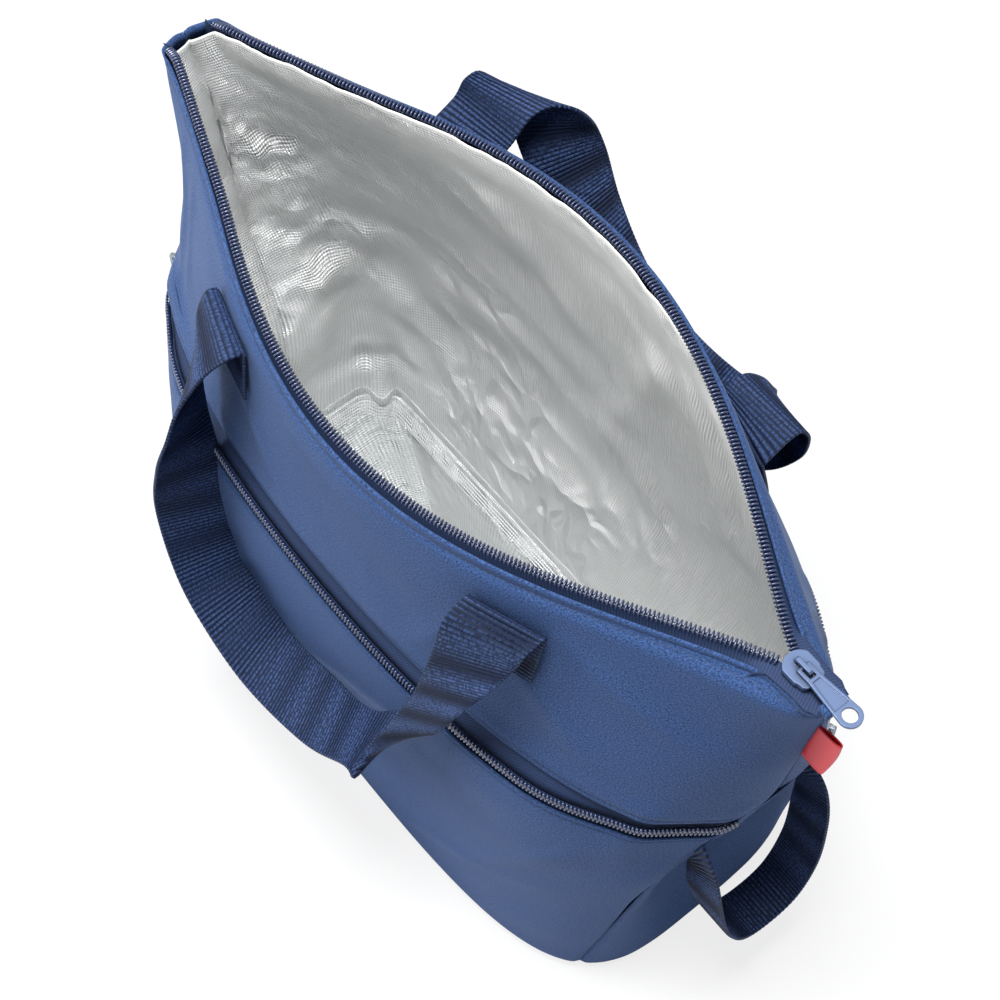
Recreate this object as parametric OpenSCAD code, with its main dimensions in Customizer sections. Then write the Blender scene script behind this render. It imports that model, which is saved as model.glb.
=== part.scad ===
// Insulated cooler tote with a zip mouth, two zip pockets, webbing handles and side loops.
// X runs along the mouth, Y from front to back and Z up.
// The origin is the middle of the base, on the surface that the bag stands on.

/* [Bag] */
// Width of the base
base_w = 392; // [300:1:480]
// Depth of the base at its middle
base_d = 194; // [150:1:240]
// Width over the two ends of the rim
rim_w = 468; // [390:1:560]
// Opening of the mouth at its middle, between the zip coils
mouth_open = 150; // [90:1:190]
// Height of the rim at its ends
bag_h = 336; // [280:1:410]
// Dip of the front rim at its middle
front_dip = 14; // [0:1:30]
// Rise of the back rim at its middle
back_rise = 5; // [0:1:20]
// Swell of the soft walls at half height
belly = 5; // [0:1:20]
// Lean of the soft walls towards the back at half height
lean = 9; // [0:1:20]
// Depth to which the side gussets fold in
gusset_fold = 20; // [0:1:30]

/* [Layers] */
// Thickness of the outer fabric
fabric_t = 1.2; // [0.8:0.1:2]
// Thickness of the pocket lining
lining_t = 0.6; // [0.4:0.1:1]
// Thickness of the insulating foam
foam_t = 4; // [2:0.5:6]
// Thickness of the foil liner
liner_t = 0.6; // [0.4:0.1:1]
// Clearance between layers
layer_gap = 0.3; // [0.2:0.05:0.6]
// Flat depth of the empty pockets
pocket_room = 3; // [2.8:0.1:5]

/* [Top zip] */
// Spacing of the coil's teeth
tooth_pitch = 2; // [1.5:0.1:3]
// Width of one coil
coil_w = 3.4; // [2.6:0.1:4.5]
// Height of one coil
coil_h = 2.4; // [1.6:0.1:4]
// Thickness of the zip tape
tape_t = 0.6; // [0.4:0.1:1]
// Drop from the rim to the top edge of the fabric
tape_show = 8; // [5:0.5:14]
// Place along X where the coils close
mouth_close_x = 210; // [180:1:250]
// Length of the closed stretch past that place
closed_len = 26; // [20:1:40]
// Distance between the coils at the open end
mouth_end_gap = 15; // [8:1:30]

/* [Sliders and pulls] */
// Length of a slider
slider_len = 16; // [13:0.5:22]
// Width of a slider over its flanges
slider_w = 14; // [13:0.5:18]
// Thickness of a slider's plates and flanges
slider_t = 1.1; // [0.8:0.1:1.6]
// Length of the top pull from its pivot to its tip
top_pull_len = 33; // [24:1:45]
// Length of a pocket pull from its pivot to its tip
pocket_pull_len = 26; // [20:1:40]
// Width of a pull at its free end
pull_w = 11; // [8:0.5:14]
// Thickness of a pull
pull_t = 1.6; // [1.2:0.1:2.4]

/* [Pockets] */
// Height of the pocket zips
pocket_zip_z = 196; // [160:1:230]
// Gap in the fabric below the middle of a pocket zip
zip_slot_below = 7.5; // [7.5:0.5:10]
// Gap in the fabric above the middle of a pocket zip
zip_slot_above = 9; // [7:0.5:14]
// Tape tucked behind the fabric on each side of the slot
tape_tuck = 8; // [5:0.5:12]

/* [Webbing] */
// Width of the handle webbing
handle_w = 40; // [25:1:50]
// Thickness of all webbing
web_t = 1.8; // [1.2:0.1:2.5]
// Distance between the two ends of a handle
handle_gap = 200; // [150:1:240]
// Drop from the rim to a handle's fold
handle_drop = 18; // [14:1:40]
// Sewn length of webbing under a handle's fold
handle_sewn = 34; // [20:1:60]
// Depth of a hanging handle's loop
handle_hang = 216; // [140:1:230]
// Distance that a hanging handle stands off the wall
handle_out = 38; // [38:1:70]
// Width of the side loop webbing
loop_w = 25; // [15:1:35]
// Height of a side loop's ends
loop_z = 168; // [140:1:180]
// Depth of a hanging side loop
loop_hang = 118; // [60:1:130]
// Height of the side tab along the seam
tab_h = 38; // [20:1:50]
// Distance that the side tab stands out
tab_out = 15; // [8:1:25]

/* [Hidden] */

$fn = 48;
FRONT = -1;
BACK = 1;
navy = [0.25, 0.34, 0.53];
dark_navy = [0.13, 0.19, 0.33];
foil = [0.78, 0.78, 0.77];
foam_white = [0.93, 0.93, 0.9];
steel = [0.75, 0.76, 0.78];
painted = [0.36, 0.46, 0.66];
red = [0.8, 0.18, 0.2];

// Depths below the outer face of the fabric
tape_d = fabric_t + 2 * layer_gap;
lining_d = fabric_t + pocket_room;
foam_d = lining_d + lining_t + 2 * layer_gap;
liner_d = foam_d + foam_t + 3 * layer_gap;
base_liner_d = liner_d + liner_t + layer_gap;

// Heights above the floor
wall_z = fabric_t + layer_gap;
foam_base_top = wall_z + foam_t;
liner_z = foam_base_top + layer_gap;
foam_stop = tape_show + tape_tuck + 6;

// Distances along the wall, as shares of the way from its middle to the side seam
seam_s = 0.004;
lining_end_s = 0.76;
corner_s = 0.74;
zip_end_s = 0.93;
slider_s = 0.81;
flat_lo_s = 0.7;
flat_hi_s = 0.87;

function mix(a, b, w) = a + (b - a) * w;
function unit(v) = v / norm(v);
function smooth(w) = let (c = min(1, max(0, w))) c * c * (3 - 2 * c);
function back_to_front(list) = [for (i = [len(list) - 1:-1:0]) list[i]];

// Rim height on a side, and half sizes at a share of the height
function rim_z(side, xi) = bag_h + (side == FRONT ? -front_dip : back_rise) * pow(1 - xi * xi, 2);
function half_w(w) = mix(base_w, rim_w, w) / 2;
rim_edge = 10;
function half_d(w) = mix(base_d / 2, mouth_open / 2 + rim_edge, w) + 4 * belly * w * (1 - w);

// The plan goes from a full rounded box at the base to a slim lens at the rim
function plan_full(w) = 2 + 2 * pow(1 - w, 1.9);
function plan_slim(w) = 0.25 + 1.25 * pow(w, 4);
end_half_right = 16;
end_half_left = 22;
function end_half(xi) = mix(end_half_left, end_half_right, (xi + 1) / 2);
fold_top = 0.62;
fold_spread = 0.13;
function fold_share(w) = w > fold_top ? 0 : pow(sin(180 * w / fold_top), 2);
function lean_y(w) = lean * sin(145 * w);

// Outer face of the wall in plan: s is 0 at the middle, -1 and 1 at the seams, and past them on the other side
function plan_xy(side, s, w) =
    abs(s) > 1 ? plan_xy(-side, 2 * sign(s) - s, w) :
    let (xi = sin(90 * s))
    let (m = abs(xi))
    let (bow = half_d(w) * pow(max(0, 1 - pow(m, plan_full(w))), plan_slim(w)))
    let (end = end_half(xi) * w * w * pow(m, 4) * sqrt(max(0, 1 - pow(m, 24))))
    let (fold = gusset_fold * fold_share(w) * exp(-pow((1 - abs(s)) / fold_spread, 2)))
    [half_w(w) * xi - sign(xi) * fold, side * (bow + end) + lean_y(w)];
step_s = 0.02;
function plan_along(side, s, w) = unit(plan_xy(side, s + step_s, w) - plan_xy(side, s - step_s, w));
function knot_xy(side, s, w, d) =
    let (t = plan_along(side, s, w))
    plan_xy(side, s, w) + d * (side == FRONT ? [-t.y, t.x] : [t.y, -t.x]);

// All layers share these knots and run straight between them, so that none cuts into the next
half_knots = [0, 0.17, 0.34, 0.5, 0.62, flat_lo_s, flat_hi_s, zip_end_s, 0.97, 1];
right_knots = concat(half_knots, [for (k = back_to_front(half_knots)) if (k < 1) 2 - k]);
s_knots = concat([for (k = back_to_front(right_knots)) if (k > 0) -k], right_knots);
w_knots = [0, 0.1, 0.22, 0.36, 0.52, 0.68, 0.8, 0.9, 1];
function cell(list, x, i = 0) = i >= len(list) - 2 || x < list[i + 1] ? i : cell(list, x, i + 1);
function between(list, lo, hi, room) =
    concat([lo], [for (k = list) if (k > lo + room && k < hi - room) k], [hi]);

// Point of the wall at a height, a depth below the fabric's outer face
function wall_pt(side, s, z, d) =
    abs(s) > 1 ? wall_pt(-side, 2 * sign(s) - s, z, d) :
    let (w = z / rim_z(side, sin(90 * s)))
    let (i = cell(s_knots, s))
    let (j = cell(w_knots, w))
    let (a = (s - s_knots[i]) / (s_knots[i + 1] - s_knots[i]))
    let (b = (w - w_knots[j]) / (w_knots[j + 1] - w_knots[j]))
    let (low = mix(knot_xy(side, s_knots[i], w_knots[j], d), knot_xy(side, s_knots[i + 1], w_knots[j], d), a))
    let (high = mix(knot_xy(side, s_knots[i], w_knots[j + 1], d),
        knot_xy(side, s_knots[i + 1], w_knots[j + 1], d), a))
    let (p = mix(low, high, b))
    [p.x, p.y, z];
function s_at_x(x, z) = asin(x / half_w(z / bag_h)) / 90;

// Faces of a sheet with nu by nv cells on each of its two skins
function sheet_faces(nu, nv) =
    let (n = (nu + 1) * (nv + 1))
    let (o = function(i, j) j * (nu + 1) + i)
    let (b = function(i, j) n + j * (nu + 1) + i)
    concat(
        [for (j = [0:nv - 1], i = [0:nu - 1]) each [
            [o(i, j), o(i, j + 1), o(i + 1, j + 1)], [o(i, j), o(i + 1, j + 1), o(i + 1, j)],
            [b(i, j), b(i + 1, j + 1), b(i, j + 1)], [b(i, j), b(i + 1, j), b(i + 1, j + 1)]
        ]],
        [for (i = [0:nu - 1]) each [
            [o(i, 0), o(i + 1, 0), b(i + 1, 0)], [o(i, 0), b(i + 1, 0), b(i, 0)],
            [o(i + 1, nv), o(i, nv), b(i, nv)], [o(i + 1, nv), b(i, nv), b(i + 1, nv)]
        ]],
        [for (j = [0:nv - 1]) each [
            [o(0, j + 1), o(0, j), b(0, j)], [o(0, j + 1), b(0, j), b(0, j + 1)],
            [o(nu, j), o(nu, j + 1), b(nu, j + 1)], [o(nu, j), b(nu, j + 1), b(nu, j)]
        ]]);
function turned(faces) = [for (f = faces) [f[2], f[1], f[0]]];

module sheet(outer, inner, nu, nv, flip) {
    faces = sheet_faces(nu, nv);
    polyhedron(concat(outer, inner), flip ? turned(faces) : faces, convexity = 8);
}

// Sheet of the wall from z_lo to z_hi(s); places(z) lists its positions along the wall at a height
row_room = 4;
module wall_sheet(side, places, z_lo, z_hi, d_out, d_in) {
    top = min([for (s = places(z_lo)) z_hi(s)]);
    rows = between([for (w = w_knots) w * bag_h], z_lo, top, row_room);
    nv = len(rows) - 1;
    nu = len(places(z_lo)) - 1;
    skin = function(d) [
        for (j = [0:nv])
            let (row = places(rows[j]))
            for (s = row) wall_pt(side, s, j < nv ? rows[j] : z_hi(s), d)
    ];
    sheet(skin(d_out), skin(d_in), nu, nv, side == BACK);
}

// Flat strip swept along points, with the direction of its width at each one
module strip(path, across, width, thick) {
    n = len(path);
    tangents = [for (k = [0:n - 1]) unit(path[min(k + 1, n - 1)] - path[max(k - 1, 0)])];
    rings = [for (k = [0:n - 1])
        let (t = tangents[k])
        let (b = unit(across[k] - (across[k] * t) * t) * width / 2)
        let (h = unit(cross(t, b)) * thick / 2)
        each [path[k] - b - h, path[k] + b - h, path[k] + b + h, path[k] - b + h]];
    tube(rings, n, 4);
}

// Closed tube through n rings of m points each
module tube(rings, n, m) {
    faces = concat(
        [for (k = [0:n - 2], e = [0:m - 1])
            let (f = (e + 1) % m)
            each [[k * m + e, (k + 1) * m + e, (k + 1) * m + f], [k * m + e, (k + 1) * m + f, k * m + f]]],
        [for (e = [1:m - 2]) [0, e, e + 1]],
        [for (e = [1:m - 2]) [(n - 1) * m, (n - 1) * m + e + 1, (n - 1) * m + e]]);
    polyhedron(rings, faces, convexity = 8);
}

// Outline of the bag at a height and depth, for the base's flat layers
module floor_outline(z, d) {
    ring = between(s_knots, -1, 1, seam_s);
    n = len(ring) - 1;
    polygon([
        for (i = [0:n - 1]) let (p = wall_pt(FRONT, ring[i], z, d)) [p.x, p.y],
        for (i = [0:n - 1]) let (p = wall_pt(BACK, ring[n - i], z, d)) [p.x, p.y]
    ]);
}

// Base
module base_panel() {
    color(navy) linear_extrude(fabric_t) floor_outline(0, 0);
}
module foam_base() {
    color(foam_white) translate([0, 0, wall_z]) linear_extrude(foam_t) floor_outline(foam_base_top, liner_d + layer_gap);
}
module liner_base() {
    color(foil) translate([0, 0, liner_z]) linear_extrude(liner_t) floor_outline(liner_z, base_liner_d);
}

// Outer fabric
panel_low_z = pocket_zip_z + zip_slot_above;
pocket_top_z = pocket_zip_z - zip_slot_below;
function corner_line(z) = mix(corner_s, zip_end_s, pow(z / panel_low_z, 1.5));
tip_dip = 6;
tip_from = 0.9;
tip_full = 0.96;
module upper_panel(side) {
    dip = function(s) tip_dip * smooth((abs(sin(90 * s)) - tip_from) / (tip_full - tip_from));
    seam_end = 0.9975;
    ring = between(s_knots, -seam_end, seam_end, seam_s);
    color(navy) wall_sheet(side, function(z) ring, panel_low_z,
        function(s) rim_z(side, sin(90 * s)) - tape_show - dip(s), 0, fabric_t);
}
corner_cells = 3;
module pocket_panel(side) {
    middle = [for (s = s_knots) if (abs(s) <= flat_lo_s) s];
    edge = function(z) [for (i = [1:corner_cells]) mix(flat_lo_s, corner_line(z) - seam_s, i / corner_cells)];
    color(navy) wall_sheet(side, function(z) concat(-back_to_front(edge(z)), middle, edge(z)), wall_z,
        function(s) pocket_top_z, 0, fabric_t);
}
gusset_cells = 12;
module gusset(turn) {
    lo = function(z) turn > 0 ? corner_line(z) : corner_line(z) - 2;
    hi = function(z) turn > 0 ? 2 - corner_line(z) : -corner_line(z);
    color(navy) wall_sheet(FRONT, function(z) [for (i = [0:gusset_cells]) mix(lo(z), hi(z), i / gusset_cells)],
        wall_z, function(s) panel_low_z - layer_gap, 0, fabric_t);
}
lining_stop = 2.4;
module pocket_lining(side) {
    ring = between(s_knots, -lining_end_s, lining_end_s, seam_s);
    color(dark_navy) wall_sheet(side, function(z) ring, wall_z, function(s) pocket_top_z - lining_stop,
        lining_d, lining_d + lining_t);
}

// Foam and liner: the front and back reach the rim, the sides stop below the narrow ends
side_wall_s = 0.77;
side_wall_top = 0.8;
module inner_wall(side, z_lo, top_drop, d, t) {
    ring = between(s_knots, seam_s - side_wall_s, side_wall_s - seam_s, seam_s);
    wall_sheet(side, function(z) ring, z_lo, function(s) rim_z(side, sin(90 * s)) - top_drop, d, d + t);
}
module inner_side(turn, z_lo, d, t) {
    lo = turn > 0 ? side_wall_s : side_wall_s - 2;
    hi = turn > 0 ? 2 - side_wall_s : -side_wall_s;
    ring = between(s_knots, lo, hi, seam_s);
    wall_sheet(FRONT, function(z) ring, z_lo, function(s) bag_h * side_wall_top, d, d + t);
}
module foam_wall(side) {
    color(foam_white) inner_wall(side, wall_z, foam_stop, foam_d, foam_t);
}
module foam_side(turn) {
    color(foam_white) inner_side(turn, wall_z, foam_d, foam_t);
}
module liner_wall(side) {
    color(foil) inner_wall(side, liner_z, tape_show, liner_d, liner_t);
}
module liner_side(turn) {
    color(foil) inner_side(turn, liner_z, liner_d, liner_t);
}

// Top zip: the coils run along the rim, apart at the left end and closed at the right
coil_gap = 2.2;
coil_end_x = mouth_close_x + closed_len;
coil_start_x = -(rim_w / 2 - 9);
mouth_bow_right = 1.25;
mouth_bow_left = 1.4;
function mouth_share(x) = min(1, abs(x) / (x > 0 ? mouth_close_x : -coil_start_x));
function mouth_half(x) =
    let (xi = mouth_share(x))
    let (gap = coil_w + (x > 0 ? coil_gap : mix(coil_gap, mouth_end_gap - coil_w, pow(xi, 6))))
    mouth_open / 2 * pow(1 - xi * xi, x > 0 ? mouth_bow_right : mouth_bow_left) + gap / 2;
function coil_pt(side, x) =
    [x, side * mouth_half(x) + lean_y(1), rim_z(side, mouth_share(x)) - coil_h / 2];

// Even steps along the coil, from a table of length against X
table_n = 120;
function coil_table(side) =
    let (x = [for (i = [0:table_n]) mix(coil_start_x, coil_end_x, i / table_n)])
    [for (i = 0, l = 0; i <= table_n;
        l = l + (i < table_n ? norm(coil_pt(side, x[i + 1]) - coil_pt(side, x[i])) : 0), i = i + 1) [l, x[i]]];

// One serrated strip: a full section at each tooth and a slim one in each gap
tooth_cut = 0.8;
module top_coil(side) {
    table = coil_table(side);
    length = table[table_n][0];
    teeth = floor(length / tooth_pitch);
    n = 2 * teeth + 1;
    rings = [for (k = [0:n - 1])
        let (l = length * k / (n - 1))
        let (p = coil_pt(side, lookup(l, table)))
        let (q = coil_pt(side, lookup(min(length, l + 1), table)))
        let (r = coil_pt(side, lookup(max(0, l - 1), table)))
        let (t = unit([q.x - r.x, q.y - r.y, 0]))
        let (b = side * [-t.y, t.x, 0])
        let (cut = k % 2 == 1 ? 0 : tooth_cut)
        let (inner = p - (coil_w / 2 - cut) * b - [0, 0, coil_h / 2 - cut])
        let (outer = p + (coil_w / 2 - cut / 2) * b - [0, 0, coil_h / 4])
        let (crown = p + [0, 0, coil_h / 2 - cut])
        each side == FRONT ? [inner, outer, crown] : [inner, crown, outer]];
    color(dark_navy) tube(rings, n, 3);
}

// Tape from behind the fabric, over a shoulder, to the coil's outer edge
shoulder_flat = 3.5;
shoulder_drop = 1.8;
tape_edge_drop = 0.9;
tape_coil_gap = 0.6;
foot_sink = 3;
flat_from = 0.74;
flat_full = 0.86;
module top_tape(side) {
    start_s = -0.965;
    end_s = 0.9;
    knots = between(s_knots, start_s, end_s, seam_s);
    ring = [for (i = [0:len(knots) - 2]) each [knots[i], (knots[i] + knots[i + 1]) / 2], end_s];
    along = function(s) (sin(90 * s) - sin(90 * start_s)) / (sin(90 * end_s) - sin(90 * start_s));
    at_coil = function(s, drop, out)
        coil_pt(side, mix(coil_start_x, coil_end_x, along(s))) + [0, side * out, -drop];
    bend = function(s) smooth((abs(sin(90 * s)) - flat_from) / (flat_full - flat_from));
    skin = function(d) [
        for (j = [0:2])
            for (s = ring)
                let (edge = coil_w / 2 + tape_coil_gap)
                let (top = at_coil(s, tape_edge_drop + d, edge))
                let (shoulder = at_coil(s, shoulder_drop + d, edge + shoulder_flat - d))
                let (foot = wall_pt(side, s, rim_z(side, sin(90 * s)) - tape_show - tape_tuck,
                    tape_d + layer_gap + d + foot_sink * bend(s)))
                [foot, mix(mix(foot, top, 0.6), shoulder, bend(s)), top][j]
    ];
    color(dark_navy) sheet(skin(0), skin(tape_t), len(ring) - 1, 2, side == BACK);
}

// Fold of tape that closes the zip's end
tab_len = 6;
tab_wall = 0.8;
tab_half = 6.5;
module top_zip_end_tab() {
    z = bag_h - coil_h / 2;
    room = coil_h / 2 + layer_gap;
    low = shoulder_drop + tape_t + layer_gap;
    x = coil_end_x + layer_gap + tab_wall;
    color(dark_navy) translate([0, lean_y(1) + tab_half, z]) rotate([90, 0, 0]) linear_extrude(2 * tab_half)
        polygon([
            [x - tab_len, room], [x - tab_wall, room], [x - tab_wall, -low], [x - tab_len, -low],
            [x - tab_len, -low - tab_wall], [x, -low - tab_wall], [x, room + tab_wall], [x - tab_len, room + tab_wall]
        ]);
}

// Slider: two plates, a post that parts the coils, flanges and a bridge for the pull
bridge_in = 3.2;
bridge_t = 1.6;
bridge_w = 2;
pivot_gap = 0.3;
post_len = 4;
post_w = 0.8;
slider_nose = 5.9;
function pivot_z(top) = top + slider_t + pivot_gap + pull_t / 2;
module slider_outline() {
    r = slider_w / 2;
    translate([r - slider_len / 2, 0]) intersection() {
        circle(r * 1.12);
        square([3 * r, slider_w], center = true);
    }
    polygon([
        [r - slider_len / 2, -r], [slider_len / 2 - 1.5, -slider_nose], [slider_len / 2, 1.5 - slider_nose],
        [slider_len / 2, slider_nose - 1.5], [slider_len / 2 - 1.5, slider_nose], [r - slider_len / 2, r]
    ]);
}
module slider_rim(h) {
    difference() {
        linear_extrude(h) slider_outline();
        translate([0, 0, -1]) linear_extrude(h + 2) difference() {
            square([2 * slider_len, slider_w - 2 * slider_t], center = true);
            translate([slider_len / 2, slider_w / 2 + slider_nose - slider_t]) rotate(-12)
                square([slider_len, slider_w], center = true);
            translate([slider_len / 2, -slider_w / 2 - slider_nose + slider_t]) rotate(12)
                square([slider_len, slider_w], center = true);
        }
    }
}
// top and bottom are the inner faces of the plates, lip the lower edge of the top plate's flanges
module slider(top, bottom, lip, bridge_turn) {
    bridge_z = pivot_z(top) + pull_t / 2 + pivot_gap;
    bridge_out = bridge_in + bridge_t;
    translate([0, 0, top]) linear_extrude(slider_t) slider_outline();
    translate([0, 0, bottom - slider_t]) linear_extrude(slider_t) slider_outline();
    translate([0, 0, lip]) slider_rim(top - lip);
    translate([post_len / 2 - slider_len / 2, 0, bottom]) linear_extrude(top - bottom)
        polygon([[-post_len / 2, -post_w], [post_len / 2, 0], [-post_len / 2, post_w]]);
    rotate([90, 0, bridge_turn]) translate([0, 0, -bridge_w / 2]) linear_extrude(bridge_w) polygon([
        [-bridge_out, top + slider_t], [-bridge_out, bridge_z + bridge_t * 0.4],
        [-bridge_out + bridge_t * 0.6, bridge_z + bridge_t], [bridge_out - bridge_t * 0.6, bridge_z + bridge_t],
        [bridge_out, bridge_z + bridge_t * 0.4], [bridge_out, top + slider_t], [bridge_in, top + slider_t],
        [bridge_in, bridge_z], [-bridge_in, bridge_z], [-bridge_in, top + slider_t]
    ]);
}

// Pull: a tapered tag with an eye at the bridge, a sunk panel and a round hole at its free end
eye_w = 3.4;
eye_len = 5.2;
eye_wall = 1.7;
panel_sink = 0.4;
module pull(length) {
    r = pull_w / 2;
    eye_half = eye_w / 2 + eye_wall;
    hole_r = r - 2;
    bar_r = pull_t / 2;
    neck_x = bar_r + eye_len + 1.6;
    tip_x = length - r;
    difference() {
        translate([0, 0, -pull_t / 2]) linear_extrude(pull_t) difference() {
            union() {
                translate([tip_x, 0]) circle(r);
                polygon([
                    [0, -eye_half], [neck_x - 1, -eye_half], [tip_x, -r], [tip_x, r],
                    [neck_x - 1, eye_half], [0, eye_half]
                ]);
            }
            translate([bar_r, -eye_w / 2]) square([eye_len, eye_w]);
            translate([tip_x, 0]) circle(hole_r);
        }
        for (z = [pull_t / 2 - panel_sink, -pull_t / 2 - panel_sink]) translate([0, 0, z])
            linear_extrude(2 * panel_sink) polygon([
                [neck_x, 1.4 - eye_half], [tip_x - hole_r - 1.4, 1.6 - r],
                [tip_x - hole_r - 1.4, r - 1.6], [neck_x, eye_half - 1.4]
            ]);
        translate([-2 * bar_r, -pull_w, -pull_t]) cube([2 * bar_r, 2 * pull_w, 2 * pull_t]);
    }
    rotate([90, 0, 0]) cylinder(h = 2 * eye_half, r = bar_r, center = true);
}

// Top slider at the place where the coils close
top_slider_x = mouth_close_x + 5;
top_plate = coil_h / 2 + 0.4;
top_under = shoulder_drop + tape_t + 0.6;
module at_top_slider() {
    translate([top_slider_x, lean_y(1), bag_h - coil_h / 2]) children();
}
module top_zip_slider() {
    color(painted) at_top_slider() slider(top_plate, -top_under, -0.5, 0);
}
module top_zip_pull() {
    color(painted) at_top_slider() translate([0, 0, pivot_z(top_plate)]) pull(top_pull_len);
}

// Pocket zips: two tapes behind the fabric, one closed pair of coils, a slider at one end
pocket_coil_h = 2.1;
pocket_coil_w = 4.4;
pocket_coil_d = fabric_t - pocket_coil_h;
tape_split = 1.3;
module pocket_tape(side, z_lo, z_hi) {
    ring = between(s_knots, seam_s - zip_end_s, zip_end_s - seam_s, seam_s);
    color(dark_navy) wall_sheet(side, function(z) ring, z_lo, function(s) z_hi, tape_d, tape_d + tape_t);
}
module pocket_upper_tape(side) {
    pocket_tape(side, pocket_zip_z + tape_split, panel_low_z + tape_tuck);
}
module pocket_lower_tape(side) {
    pocket_tape(side, pocket_top_z + layer_gap, pocket_zip_z - tape_split);
}
function flat_end(side, s) = let (p = wall_pt(side, s, pocket_zip_z, 0)) [p.x, p.y];
function flat_len(side) = norm(flat_end(side, flat_hi_s) - flat_end(side, flat_lo_s));
module pocket_coil(side) {
    nose = (slider_len / 2 + coil_nose_gap) / flat_len(side) * (flat_hi_s - flat_lo_s);
    near = slider_s - nose;
    far = zip_end_s - 6 * seam_s;
    ring = side == FRONT ? between(s_knots, -near, far, seam_s) : between(s_knots, -far, near, seam_s);
    color(dark_navy) wall_sheet(side, function(z) ring, pocket_zip_z - pocket_coil_w / 2,
        function(s) pocket_zip_z + pocket_coil_w / 2, pocket_coil_d, fabric_t);
}
coil_nose_gap = 0.5;

// Pocket slider frame: X along the zip, Z out of the wall, from the middle of the coil
module at_pocket_slider(side) {
    s = side * slider_s;
    p = wall_pt(side, s, pocket_zip_z, pocket_coil_d + pocket_coil_h / 2);
    t = wall_pt(side, s + step_s, pocket_zip_z, 0) - wall_pt(side, s - step_s, pocket_zip_z, 0);
    yaw = atan2(t.y, t.x) + (side == BACK ? 180 : 0);
    translate(p) rotate([0, 0, yaw]) rotate([90, 0, 0]) children();
}
pocket_plate = pocket_coil_h / 2 + 0.8;
pocket_under = pocket_coil_h / 2 + tape_d - fabric_t + tape_t + 0.9;
pocket_lip = 0.45;
module pocket_slider(side) {
    color(steel) at_pocket_slider(side) slider(pocket_plate, -pocket_under, pocket_lip, 90);
}
module pocket_pull(side) {
    color(steel) at_pocket_slider(side) translate([0, 0, pivot_z(pocket_plate)]) rotate([0, 0, -90])
        pull(pocket_pull_len);
}

// Handles: webbing sewn to the fabric, folded over and hanging as a loop
handle_x = handle_gap / 2;
handle_xi = handle_x / (rim_w / 2);
sewn_gap = 1.2;
sewn_d = -sewn_gap - web_t;
fold_gap = 0.6;
function fold_z(side) = rim_z(side, handle_xi) - handle_drop;
module handle_end(side, turn) {
    z = fold_z(side);
    lo = s_at_x(turn * handle_x - handle_w / 2, z);
    hi = s_at_x(turn * handle_x + handle_w / 2, z);
    ring = between(s_knots, lo, hi, seam_s);
    color(dark_navy) wall_sheet(side, function(h) ring, z - handle_sewn, function(s) z, sewn_d, -sewn_gap);
}
loop_fullness = 0.77;
function out_length(side) = side == FRONT ? 26 : 14;
turn_length = 90;
bottom_across = [0, 0.75, 0.66];
module handle(side) {
    z = fold_z(side);
    inner_s = s_at_x(handle_x - handle_w / 2, z);
    root_y = wall_pt(side, inner_s, z, sewn_d - fold_gap).y + side * web_t / 2;
    n = 44;
    angles = [for (k = [0:n]) 180 * smooth(k / n)];
    drops = [for (a = angles) handle_hang * pow(max(0, sin(a)), loop_fullness)];
    path = [for (k = [0:n])
        let (c = cos(angles[k]))
        [-handle_x * sign(c) * pow(abs(c), loop_fullness),
            root_y + side * handle_out * (1 - exp(-drops[k] / out_length(side))), z - drops[k]]];
    across = [for (k = [0:n])
        let (turn = smooth(drops[k] / turn_length))
        let (flat = cos(angles[k]) > 0 ? 1 : -1)
        (1 - turn) * [flat, 0, 0] + turn * [0, side * bottom_across.y, bottom_across.z]];
    color(dark_navy) strip(path, across, handle_w, web_t);
}

// Side loops: webbing from the front seam of a gusset to its back seam
loop_swing = 14;
loop_wall_gap = 0.6;
loop_round = 0.11;
function loop_end(turn, side) =
    let (p = wall_pt(side, turn * (corner_line(loop_z) - seam_s), loop_z, 0))
    [p.x + turn * (loop_w / 2 + loop_wall_gap), p.y, loop_z];
module side_loop(turn) {
    n = 26;
    a = loop_end(turn, FRONT);
    b = loop_end(turn, BACK);
    path = [for (k = [0:n])
        let (v = k / n)
        let (sag = 4 * v * (1 - v))
        [mix(a.x, b.x, v) + turn * loop_swing * sag, mix(a.y, b.y, v - loop_round * sin(360 * v)),
            loop_z - loop_hang * pow(sag, 0.75)]];
    across = [for (k = [0:n]) [1, 0, 0]];
    color(dark_navy) strip(path, across, loop_w, web_t);
}

// Plain folded tab in the right side seam
tab_t = 1.6;
tab_z = 262;
module side_tab() {
    inner = function(z) half_w(z / bag_h) + layer_gap;
    low = tab_z / 336 * bag_h;
    color(red) translate([0, lean_y(low / bag_h) + tab_t / 2, 0]) rotate([90, 0, 0]) linear_extrude(tab_t)
        polygon([
            [inner(low), low], [inner(low) + tab_out - 3, low + 1], [inner(low + 4) + tab_out, low + 4],
            [inner(low + tab_h - 4) + tab_out, low + tab_h - 4],
            [inner(low + tab_h) + tab_out - 3, low + tab_h - 1], [inner(low + tab_h), low + tab_h]
        ]);
}

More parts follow.
